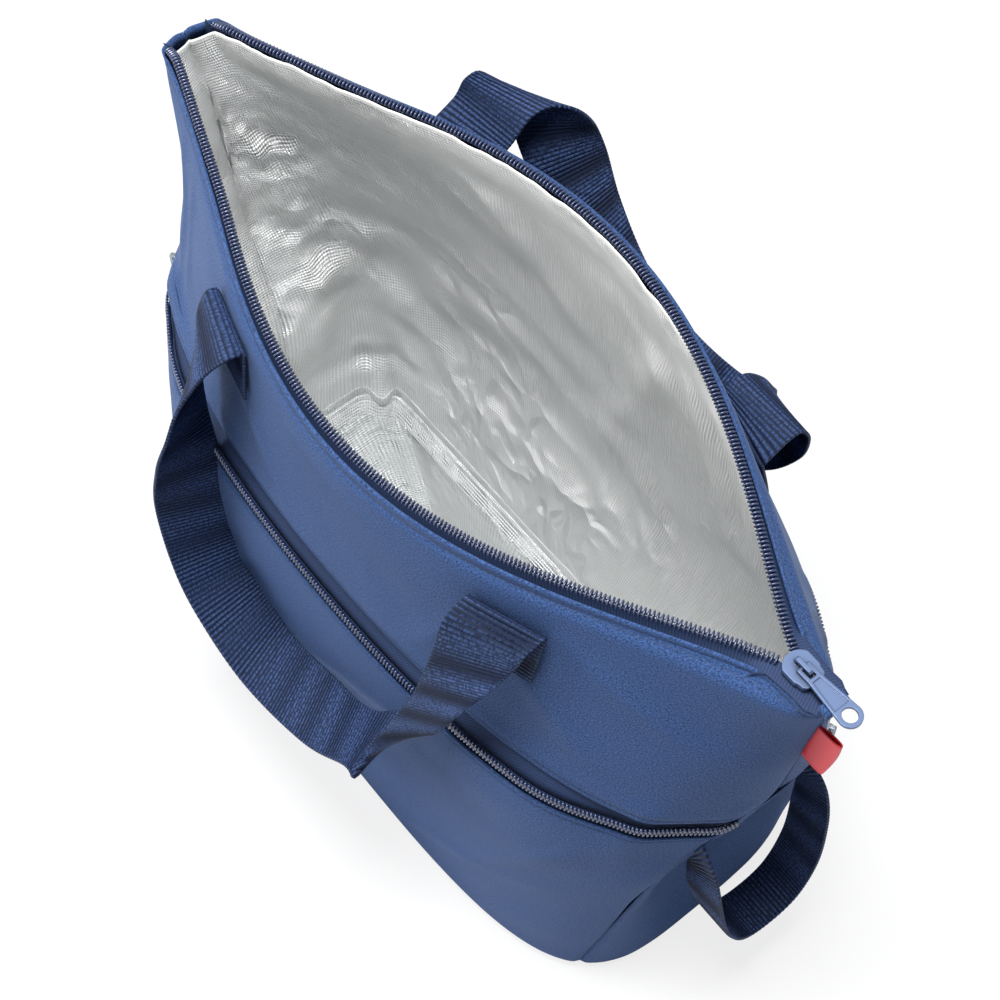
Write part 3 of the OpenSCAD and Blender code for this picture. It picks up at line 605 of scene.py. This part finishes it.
# herringbone ribs, drawn 1.2 mm apart
tape_rib = 0.0012006
ribs = add(tree, "TexWave", {
    "Vector": add(tree, "Mapping", {"Vector": uv.outputs[0], "Rotation": (0, 0, 0.6)}).outputs[0],
    "Scale": wave_unit / tape_rib, "Distortion": 0.4}, bands_direction="X")
shade = add(tree, "Mix", {0: ribs.outputs["Fac"], 6: srgb("#1d2a46"), 7: srgb("#2b3c5f")}, data_type="RGBA")
relief = add(tree, "Bump", {"Strength": 0.2, "Distance": 0.0002, "Height": ribs.outputs["Fac"]})
twill = add(tree, "BsdfPrincipled", {
    "Base Color": shade.outputs[2], "Roughness": 0.75, "Specular IOR Level": 0.25,
    "Normal": relief.outputs[0]})
add(tree, "OutputMaterial", {"Surface": twill.outputs[0]})
# nylon coil: dark and smooth, so each tooth has a small bright glint
nylon = bpy.data.materials.new("nylon_coil")
tree = new_tree(nylon)
# the gloss changes about once a tooth, over 1.1 mm
grip = add(tree, "TexNoise", {
    "Vector": add(tree, "TexCoord").outputs["Object"], "Scale": 900.0, "Detail": 1.0})
gloss = add(tree, "MapRange", {0: grip.outputs[0], 1: 0.3, 2: 0.7, 3: 0.16, 4: 0.34})
plastic = add(tree, "BsdfPrincipled", {
    "Base Color": srgb("#233155"), "Roughness": gloss.outputs[0], "Specular IOR Level": 0.9})
add(tree, "OutputMaterial", {"Surface": plastic.outputs[0]})
# bare cast metal: pale grey, bright edges
zinc = bpy.data.materials.new("bright_zinc")
tree = new_tree(zinc)
# tumbled in the drum: faint pits about 1 mm apart and edges worn round, about 0.4 mm
pits = add(tree, "TexNoise", {
    "Vector": add(tree, "TexCoord").outputs["Object"], "Scale": 1000.0, "Detail": 2.0})
gloss = add(tree, "MapRange", {0: pits.outputs[0], 1: 0.3, 2: 0.7, 3: 0.2, 4: 0.4})
relief = add(tree, "Bump", {"Strength": 0.15, "Distance": 0.0003, "Height": pits.outputs[0],
                            "Normal": add(tree, "Bevel", {"Radius": 0.0004}, samples=6).outputs[0]})
metal = add(tree, "BsdfPrincipled", {
    "Base Color": srgb("#8d939d"), "Metallic": 1.0, "Roughness": gloss.outputs[0],
    "Normal": relief.outputs[0]})
add(tree, "OutputMaterial", {"Surface": metal.outputs[0]})


def walk(points, pitch):
    """Even steps of pitch along a line of points: (place, direction) pairs."""
    found = []
    left = 0.0
    for a, b in zip(points, points[1:]):
        length = (b - a).length
        while left < length:
            found.append((a.lerp(b, left / length), (b - a).normalized()))
            left += pitch
        left -= length
    return found


def set_out(name, shape, places, paint):
    """One mesh with the same small shape at each place, given as a matrix."""
    bm = bmesh.new()
    start = [0.0] * (3 * len(shape.vertices))
    shape.vertices.foreach_get("co", start)
    for place in places:
        shape.transform(place)
        bm.from_mesh(shape)
        shape.vertices.foreach_set("co", start)
    for face in bm.faces:
        face.smooth = True
    mesh = bpy.data.meshes.new(name)
    bm.to_mesh(mesh)
    bm.free()
    mesh.materials.append(paint)
    return linked(name, mesh)


def standing(place, along, out):
    """Matrix with X along, Z out and Y across, at place."""
    across = out.cross(along).normalized()
    out = along.cross(across)
    return Matrix.Translation(place) @ Matrix((along, across, out)).transposed().to_4x4()


def bead(name, length, width, height):
    """Small rounded bar of a few dozen faces; length is along Y and width along X."""
    bm = bmesh.new()
    bmesh.ops.create_uvsphere(bm, u_segments=8, v_segments=6, radius=0.5)
    for v in bm.verts:
        blunt = math.copysign(min(0.5, abs(v.co.y) * 1.15), v.co.y)
        v.co = Vector((v.co.x * width, blunt * length, v.co.z * height))
    mesh = bpy.data.meshes.new(name)
    bm.to_mesh(mesh)
    bm.free()
    return mesh


pocket_zip_z = 196
pocket_tooth = bead("pocket_tooth", 0.0042, 0.0016, 0.0025)
for side, name in ((-1, "front"), (1, "back")):
    first, last = (-0.76, 0.922) if side < 0 else (-0.922, 0.76)
    for part, low, high in (("upper", pocket_zip_z + 0.3, 216), ("lower", 184.5, pocket_zip_z - 0.3)):
        tape = cloth(f"{name}_pocket_{part}_tape", steps(-0.928, 0.928, 150), steps(low, high, 5),
                     lambda s, z: wall(side, s, z, ledge(s) * (1 - smooth((z - 194) / 14)) - 1.9),
                     0.0006 * -side, tape_weave)
        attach(tape, "bag")
        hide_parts(f"{name}_pocket_zip_{part}_tape")
    line = [wall(side, s, pocket_zip_z, ledge(s) * 0.94 + 0.2) for s in steps(first, last, 200)]
    teeth = []
    marks = walk(line, 0.001)
    for i, (p, along) in enumerate(marks):
        out = Vector((along.y, -along.x, 0)) * -side
        row = 1 if i % 2 else -1
        # the slider presses the two rows together where it runs over them
        pressed = 1 - smooth(((i if side < 0 else len(marks) - i) - 18) / 8)
        narrow = 1 - 0.42 * pressed
        shape = Matrix.Diagonal((1, narrow, 1 - 0.4 * pressed, 1)) @ Matrix.Rotation(row * 0.22, 4, "Z")
        teeth.append(standing(p + Vector((0, 0, row * 0.0015 * narrow)), along, out) @ shape)
    coil = set_out(name + "_pocket_coil", pocket_tooth, teeth, nylon)
    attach(coil, "bag")
    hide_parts(name + "_pocket_zip_coil")
    for part in ("slider", "pull"):
        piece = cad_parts[f"{name}_pocket_zip_{part}"]
        piece.data.materials.clear()
        piece.data.materials.append(zinc)


# Upper panels: the padded wall above each pocket, front and back, one layer of polyester over foam.
# The lower edge is folded and hangs over the pocket zip; the top edge is folded and sewn to the top zip.
# where the panel ends at the side seam, as s
panel_end = 0.9975


def panel_top(side, s):
    """Height of the upper panel's top edge in mm, a little under the mouth's."""
    xi = sind(90 * s)
    return rim_z(side, abs(xi)) - 4.6 - 5 * smooth((-xi - 0.955) / 0.045) - 1.5 * smooth((xi - 0.96) / 0.04)


# soft ridges of the upper panels: x and z of both ends, height and width in mm
upper_creases = [
    ((-196, 215, -188, 316), 1.6, 4), ((-178, 225, -168, 312), 1.2, 4), ((-100, 282, -30, 214), 1.6, 7),
    ((100, 284, 175, 222), 1.8, 8), ((-104, 285, -150, 222), 1.4, 6), ((96, 285, 60, 220), 1.2, 6),
    ((130, 300, 205, 268), 1.5, 6), ((-40, 300, 40, 296), 1.0, 6)]


def upper_spot(side):
    def spot(s, row):
        t, rise, back = row
        top = panel_top(side, s)
        z = mix(flap_z, top, t) + rise
        x = 232 * sind(90 * s)
        body = smooth(t / 0.12) * smooth((1 - t) / 0.12) * smooth((panel_end - abs(s)) / 0.08)
        out = 1.2 * math.exp(-((z - 212) / 8) ** 2) * (1 - s ** 8)
        out += body * 1.7 * wave(x + 0.4 * z, z - 0.3 * x, 85, 50, 31 + side)
        out += body * 0.7 * wave(x, z + 0.4 * x, 36, 26, 34 + side)
        out += body * sum(crease(-side * x, z, *ridge) for ridge in upper_creases)
        out -= 1.2 * math.exp(-((panel_end - abs(s)) * 180 / 4) ** 2)
        below = top - z
        if rise == 0:
            out += 0.5 * math.exp(-((below - 1.5) / 2.5) ** 2) - 0.55 * math.exp(-((below - 4.6) / 0.9) ** 2)
            out -= 0.5 * math.exp(-((z - 209) / 0.9) ** 2)
        # the narrow left end is drawn in above the pocket, and the top edge rolls in over the zip's tape
        out -= 4.5 * smooth((-x - 110) / 80) * smooth((z - flap_z) / 20) * smooth((318 - z) / 70)
        p = wall(side, s, z, out - back)
        tape = coil_at(side, max(-226, min(206, p.x * 1000)))
        roll = 0.7 * smooth((t - 0.925) / 0.075)
        roll *= smooth((236 - p.x * 1000) / 16) * smooth((p.x * 1000 + 229) / 14)
        p.y = mix(p.y, (tape.y + side * (3.0 + back)) * 0.001, roll)
        return p
    return spot


# rows as share of the height, rise in mm and distance behind the face in mm:
# round the folded lower edge, up the face, then over the folded top edge
upper_rows = [(0, 6, 2.3), (0, 3, 2.2), (0, 0.8, 1.9), (0, 0.1, 1.2), (0, 0, 0.5)]
upper_rows += [(t, 0, 0) for t in (0.006, 0.014, 0.022, 0.03, 0.033, 0.036, 0.042, 0.055, 0.07)]
upper_rows += [(t, 0, 0) for t in steps(0.09, 0.93, 42)]
upper_rows += [(t, 0, 0) for t in (0.945, 0.955, 0.96, 0.9635, 0.967, 0.972, 0.98, 0.99)]
upper_rows += [(1, 0, 0.1), (1, 0.4, 0.7), (1, 0.1, 1.4), (1, -1, 1.8), (1, -5, 1.9)]
for side, name in ((-1, "front"), (1, "back")):
    panel = cloth(name + "_upper_fabric", steps(-panel_end, panel_end, 190), upper_rows, upper_spot(side),
                  0.0007 * -side, navy)
    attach(panel, "bag")
    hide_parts(name + "_upper_panel")


# Top zip: two woven tapes along the mouth with a row of nylon teeth each, one tooth per 2 mm.
# Slider and pull are cast metal painted steel blue; past the slider the tape's end is folded over.
top_tooth = bead("top_tooth", 0.0048, 0.0014, 0.003)
for side, name in ((-1, "front"), (1, "back")):
    upper = upper_spot(side)

    def tape_spot(x, t):
        inner = coil_at(side, x) - Vector((0, side * 0.8, 1.7))
        s = max(-0.97, min(0.97, math.degrees(math.asin(max(-1, min(1, x * 2 / rim_w)))) / 90))
        height = panel_top(side, s) - flap_z
        # its outer edge is behind the panel's rolled edge; past the slider it lies flat, in the slider's slot
        edge, low = (
            upper(s, (1 - drop / height, 0, 0)) * 1000 - Vector((0, side * 2.9, 0)) for drop in (2.5, 9))
        flat = smooth((x - 197) / 8)
        reach = max(8.3, abs(upper(s, (1, 0, 0)).y * 1000 - zip_mid_y) + 0.6)
        edge = edge.lerp(Vector((x, zip_mid_y + side * reach, inner.z)), flat)
        low = low.lerp(edge + Vector((0, side * 0.4, -0.5)), flat)
        return (inner.lerp(edge, t) if t <= 1 else edge.lerp(low, t - 1)) * 0.001

    tape = cloth(name + "_top_tape", steps(-229, 234, 150), steps(0, 1, 8) + [1.3, 1.6, 2.0], tape_spot,
                 0.0006 * side, tape_weave)
    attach(tape, "bag")
    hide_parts(f"top_zip_{name}_tape")
    line = [coil_at(side, x) * 0.001 for x in steps(-222, 206, 300)]
    teeth = [standing(p, along, Vector((0, 0, 1))) for p, along in walk(line, 0.002)]
    coil = set_out(name + "_top_coil", top_tooth, teeth, nylon)
    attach(coil, "bag")
    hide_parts(f"top_zip_{name}_coil")

# painted cast metal: smooth steel blue with soft highlights
enamel = bpy.data.materials.new("painted_zinc")
tree = new_tree(enamel)
# the edges are worn round, about 0.5 mm; painted shade darkens the hollows, taken from ambient occlusion
edges = add(tree, "Bevel", {"Radius": 0.0005}, samples=6)
hollow = add(tree, "AmbientOcclusion", {"Distance": 0.004}, samples=8)
painted_hollow_shade = add(tree, "MapRange", {0: hollow.outputs["AO"], 1: 0.35, 2: 0.95, 3: 0.0, 4: 1.0})
# painted shade: dark navy deep in the hollows, steel blue on the open faces
shade = add(tree, "Mix", {0: painted_hollow_shade.outputs[0], 6: srgb("#161f33"), 7: srgb("#4e6082")}, data_type="RGBA")
metal = add(tree, "BsdfPrincipled", {
    "Base Color": shade.outputs[2], "Metallic": 0.35, "Roughness": 0.36, "Normal": edges.outputs[0]})
add(tree, "OutputMaterial", {"Surface": metal.outputs[0]})
for part in ("slider", "pull"):
    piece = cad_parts["top_zip_" + part]
    piece.data.materials.clear()
    piece.data.materials.append(enamel)

low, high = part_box("top_zip_end_tab")
bm = bmesh.new()
bmesh.ops.create_cube(bm, size=1)
bmesh.ops.scale(bm, vec=high - low, verts=bm.verts[:])
bmesh.ops.translate(bm, vec=(low + high) / 2, verts=bm.verts[:])
bmesh.ops.bevel(bm, geom=bm.edges[:], offset=0.0012, affect="EDGES", segments=3, profile=0.5, material=-1)
layer = bm.loops.layers.uv.new("cloth")
for face in bm.faces:
    face.smooth = True
    for loop in face.loops:
        loop[layer].uv = loop.vert.co.xy
mesh = bpy.data.meshes.new("top_zip_end")
bm.to_mesh(mesh)
bm.free()
mesh.materials.append(navy)
zip_end = linked("top_zip_end", mesh)
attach(zip_end, "bag")
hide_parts("top_zip_end_tab")


# Handles: one length of 40 mm webbing each, sewn to the upper panel at both ends and folded over there.
# They hang down in front of the pocket in a wide loop; the bottom of the loop tips outward.
# webbing: heavy dark polypropylene with cross ribs and a fine twill, dull with a slight shine, partly real
# and partly painted: the ribs' crests are painted lighter as painted highlight and their valleys darker as
# painted shade
webbing = bpy.data.materials.new("polypropylene_webbing")
tree = new_tree(webbing)
uv = add(tree, "UVMap", uv_map="cloth")
rib_pitch = 0.0026
# each rib is 2.6 mm of the length; the yarns across it are drawn about 1 mm wide so that they can be seen
yarns = add(tree, "TexNoise", {
    "Vector": add(tree, "Mapping", {"Vector": uv.outputs[0], "Scale": (950, 380, 1)}).outputs[0],
    "Scale": 1.0, "Detail": 1.0}, noise_dimensions="2D")
ribs = add(tree, "TexWave", {
    "Vector": uv.outputs[0], "Scale": wave_unit / rib_pitch, "Phase Offset": math.pi}, bands_direction="Y")
grain = add(tree, "MapRange", {0: yarns.outputs[0], 1: 0.35, 2: 0.65, 3: 0.25, 4: 1.0})
# painted highlight on the ribs' crests and painted shade in their valleys, varied by the yarns' own uneven
# tone
rib_sheen_and_grain = add(tree, "Math", {0: ribs.outputs["Fac"], 1: grain.outputs[0]}, operation="MULTIPLY")
shade = add(tree, "Mix", {0: rib_sheen_and_grain.outputs[0], 6: srgb("#131b2e"), 7: srgb("#3d517c")}, data_type="RGBA")
relief = add(tree, "Bump", {"Strength": 0.6, "Distance": 0.0005, "Height": rib_sheen_and_grain.outputs[0]})
strap_skin = add(tree, "BsdfPrincipled", {
    "Base Color": shade.outputs[2], "Roughness": 0.6, "Specular IOR Level": 0.1, "Normal": relief.outputs[0]})
add(tree, "OutputMaterial", {"Surface": strap_skin.outputs[0]})


def strap(name, line, across, width):
    """Length of ribbed webbing along a line; across gives its width's direction at each point, all in m."""
    length = [0.0]
    for a, b in zip(line, line[1:]):
        length.append(length[-1] + (b - a).length)
    count = int(length[-1] / rib_pitch) * 4
    spots = []
    k = 0
    for i in range(count + 1):
        at = length[-1] * i / count
        while k < len(length) - 2 and length[k + 1] < at:
            k += 1
        t = (at - length[k]) / (length[k + 1] - length[k])
        p = line[k].lerp(line[k + 1], t)
        w = across[k].lerp(across[k + 1], t).normalized()
        n = (line[k + 1] - line[k]).cross(w).normalized()
        spots.append((p, w, n, 0.00028 * math.cos(math.pi / 2 * i)))

    def spot(u, i):
        p, w, n, rib = spots[i]
        edge = 1 - smooth((abs(u) - 0.88) / 0.12)
        return p + w * (u * width / 2) + n * (rib * edge - 0.0003 * (1 - edge))
    shares = [-1, -0.96, -0.9, -0.75, -0.5, -0.25, 0, 0.25, 0.5, 0.75, 0.9, 0.96, 1]
    return cloth(name, shares, list(range(count + 1)), spot, 0.0016, webbing)


def through(stations, count):
    """Smooth line through stations, each a place in mm followed by the direction of the webbing's width."""
    line, across = [], []
    ends = [stations[0]] + list(stations) + [stations[-1]]
    for a, b, c, d in zip(ends, ends[1:], ends[2:], ends[3:]):
        for k in range(count):
            t = k / count
            share = [((2 - t) * t - 1) * t / 2, ((3 * t - 5) * t * t + 2) / 2, ((4 - 3 * t) * t + 1) * t / 2,
                     (t - 1) * t * t / 2]
            mixed = [sum(f * q[i] for f, q in zip(share, (a, b, c, d))) for i in range(6)]
            line.append(Vector(mixed[:3]) * 0.001)
            across.append(Vector(mixed[3:]).normalized())
    return line, across


handle_w = 0.040
# sewn ends are found on the wall; the hanging part follows the picture, with a half twist near each end
hanging = {
    -1: [
        (-92, -75, 304, 0.93, -0.36, 0), (-98, -82, 287, 0.85, -0.5, 0.15),
        (-101, -91, 257, 0.62, -0.7, 0.35), (-99, -98, 233, 0.42, -0.82, 0.4),
        (-97, -103, 208, 0.1, -0.92, 0.38), (-96, -107, 168, -0.2, -0.92, 0.33),
        (-85, -110, 128, -0.1, -0.96, 0.22), (-66, -112, 109, 0.1, -0.98, 0.13),
        (-30, -114, 98, 0.38, -0.93, 0.02), (17, -115, 119, 0.51, -0.86, 0),
        (54, -114, 147, 0.51, -0.78, 0.35), (70, -112, 164, 0.2, -0.88, -0.2),
        (76, -110, 174, -0.3, -0.75, -0.55), (84, -106, 192, -0.58, -0.4, -0.7),
        (91, -102, 212, -0.68, -0.2, -0.69), (98, -95, 238, -0.75, -0.15, -0.64),
        (104, -88, 262, -0.82, -0.3, -0.48), (107, -80, 283, -0.87, -0.42, -0.25),
        (108, -75, 297, -0.92, -0.38, -0.05)],
    1: [
        (-103, 91, 316, 1, 0.1, 0), (-101, 100, 329, 0.95, 0.25, 0), (-95, 109, 333, 0.9, 0.42, -0.05),
        (-86, 117, 320, 0.75, 0.62, 0.1), (-76, 123, 288, 0.35, 0.9, 0.25),
        (-60, 126, 250, 0.05, 0.9, 0.4), (-32, 127, 215, 0, 0.85, 0.5), (5, 127, 200, 0, 0.8, 0.55),
        (48, 126, 206, -0.1, 0.8, 0.55), (79, 123, 228, -0.5, 0.75, 0.4), (94, 119, 258, -0.9, 0.4, 0.1),
        (97, 113, 281, -1, 0.15, 0), (96, 104, 294, -1, 0, 0), (95, 94, 292, -1, 0, 0)]}
for side, name in ((-1, "front"), (1, "back")):
    roots = []
    for end, hand, x in ((0, "left", -90 if side < 0 else -103), (1, "right", 107 if side < 0 else 95)):
        top = 303 if side < 0 else 308 - 22 * end
        sewn = []
        for z in steps(top - 34, top, 5):
            s = math.degrees(math.asin(x / half_w(z / bag_h))) / 90
            p = wall(side, s, z, 2.6) * 1000
            w = (wall(side, s + 0.02, z) - wall(side, s - 0.02, z)).normalized() * (1 - 2 * end)
            sewn.append((*p, *w))
        patch = strap(f"{name}_{hand}_sewn_webbing", *through(sewn, 14), handle_w)
        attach(patch, "bag")
        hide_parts(f"{name}_{hand}_handle_end")
        roots.append(sewn[-1])
    line, across = through([roots[0]] + hanging[side] + [roots[1]], 14)
    handle = strap(name + "_handle_webbing", line, across, handle_w)
    if side < 0:
        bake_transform(handle)
    else:
        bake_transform(handle)
    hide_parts(name + "_handle")


# Side loops: one short length of 25 mm webbing on each gusset, its ends sewn into the corner seams.
# They hang as a narrow U beside the folded gusset.
# stations of the right loop from front to back: place in mm, then the width's direction in x and in z
loop_stations = [
    (204, -25, 166, 0.1, 1), (209, -27, 163, 0.3, 0.95), (215, -28, 150, 0.75, 0.65),
    (219, -27, 125, 0.97, 0.2), (222, -21, 92, 1, 0), (223, -8, 62, 1, 0), (223, 10, 52, 1, 0),
    (223, 28, 60, 1, 0), (222, 38, 90, 1, 0), (219, 41, 125, 0.97, 0.2), (215, 42, 150, 0.75, 0.65),
    (209, 41, 163, 0.3, 0.95), (204, 40, 166, 0.1, 1)]
loop_w = 0.025
for turn, name in ((-1, "left"), (1, "right")):
    line, across = through([(turn * x, y, z, turn * w, 0, h) for x, y, z, w, h in loop_stations], 14)
    loop = strap(name + "_loop_webbing", line, across, loop_w)
    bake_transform(loop)
    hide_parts(name + "_side_loop")


# Side tab: a bare strip of red ribbon folded in half and caught in the right side seam.
# ribbon: smooth satin weave in strong red, with a soft shine along the fold
ribbon = bpy.data.materials.new("red_satin_ribbon")
tree = new_tree(ribbon)
uv = add(tree, "UVMap", uv_map="cloth")
# rows of the weave, drawn 0.9 mm apart so that they can be seen
ribbon_row = 0.00090046
rows = add(tree, "TexWave", {"Vector": uv.outputs[0], "Scale": wave_unit / ribbon_row}, bands_direction="Y")
relief = add(tree, "Bump", {"Strength": 0.2, "Distance": 0.0001, "Height": rows.outputs["Fac"]})
satin = add(tree, "BsdfPrincipled", {
    "Base Color": srgb("#e3303b"), "Roughness": 0.45, "Specular IOR Level": 0.4, "Normal": relief.outputs[0]})
add(tree, "OutputMaterial", {"Surface": satin.outputs[0]})


def tab_spot(u, v):
    """u runs up the seam, v out along one half, round the fold and back."""
    z = mix(263, 299, u)
    seam = half_w(z / bag_h) - 4
    out = 15.5 * (1 - abs(v) ** 1.6) + 0.8 * math.sin(3 * u)
    side = math.copysign(1, v) * 0.8 * math.sin(math.pi * min(1, abs(v) * 1.1)) ** 0.7 if v else 0
    return Vector((seam + out, 8.3 + side + 1.6 * math.sin(2.5 * u) * out / 15, z)) * 0.001


tab = cloth("red_ribbon_tab", steps(0, 1, 20), steps(-1, 1, 28), tab_spot, 0.0005, ribbon)
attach(tab, "bag")
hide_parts("side_tab")


# Topstitching: lockstitch in navy thread along the folded edges of the upper panels and the pockets.
# Each stitch is a short bead of thread sunk into the groove it pulls in the cloth.
# sewing thread: twisted polyester, a shade darker than the cloth, with a faint gloss
thread = bpy.data.materials.new("polyester_thread")
tree = new_tree(thread)
# the plies' twist is 0.5 mm long; it is drawn 0.8 mm long so that it can be seen
plies = add(tree, "TexWave", {"Vector": add(tree, "TexCoord").outputs["Object"], "Scale": wave_unit / 0.0008},
            bands_direction="DIAGONAL")
relief = add(tree, "Bump", {"Strength": 0.4, "Distance": 0.0002, "Height": plies.outputs["Fac"]})
twist = add(tree, "BsdfPrincipled", {
    "Base Color": srgb("#334466"), "Roughness": 0.5, "Specular IOR Level": 0.4, "Normal": relief.outputs[0]})
add(tree, "OutputMaterial", {"Surface": twist.outputs[0]})
stitch_length = 0.0026
stitch_pitch = 0.0033
stitch = bead("stitch", 0.00055, stitch_length, 0.00055)


def stitched(name, line):
    places = [
        standing(p + along * stitch_length / 2, along, Vector((along.y, -along.x, 0)))
        for p, along in walk(line, stitch_pitch)]
    made = set_out(name, stitch, places, thread)
    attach(made, "bag")


for side, name in ((-1, "front"), (1, "back")):
    upper = upper_spot(side)
    low = pocket_spot(side)
    stitched(name + "_mouth_stitching", [
        upper(s, (1 - 4.6 / (panel_top(side, s) - flap_z), 0, 0)) for s in steps(-0.985, 0.985, 260)])
    stitched(name + "_flap_stitching", [
        upper(s, (4 / (panel_top(side, s) - flap_z), 0, 0)) for s in steps(-0.92, 0.92, 240)])
    stitched(name + "_pocket_stitching", [low(u, (185.6, 0)) for u in steps(-0.99, 0.99, 240)])
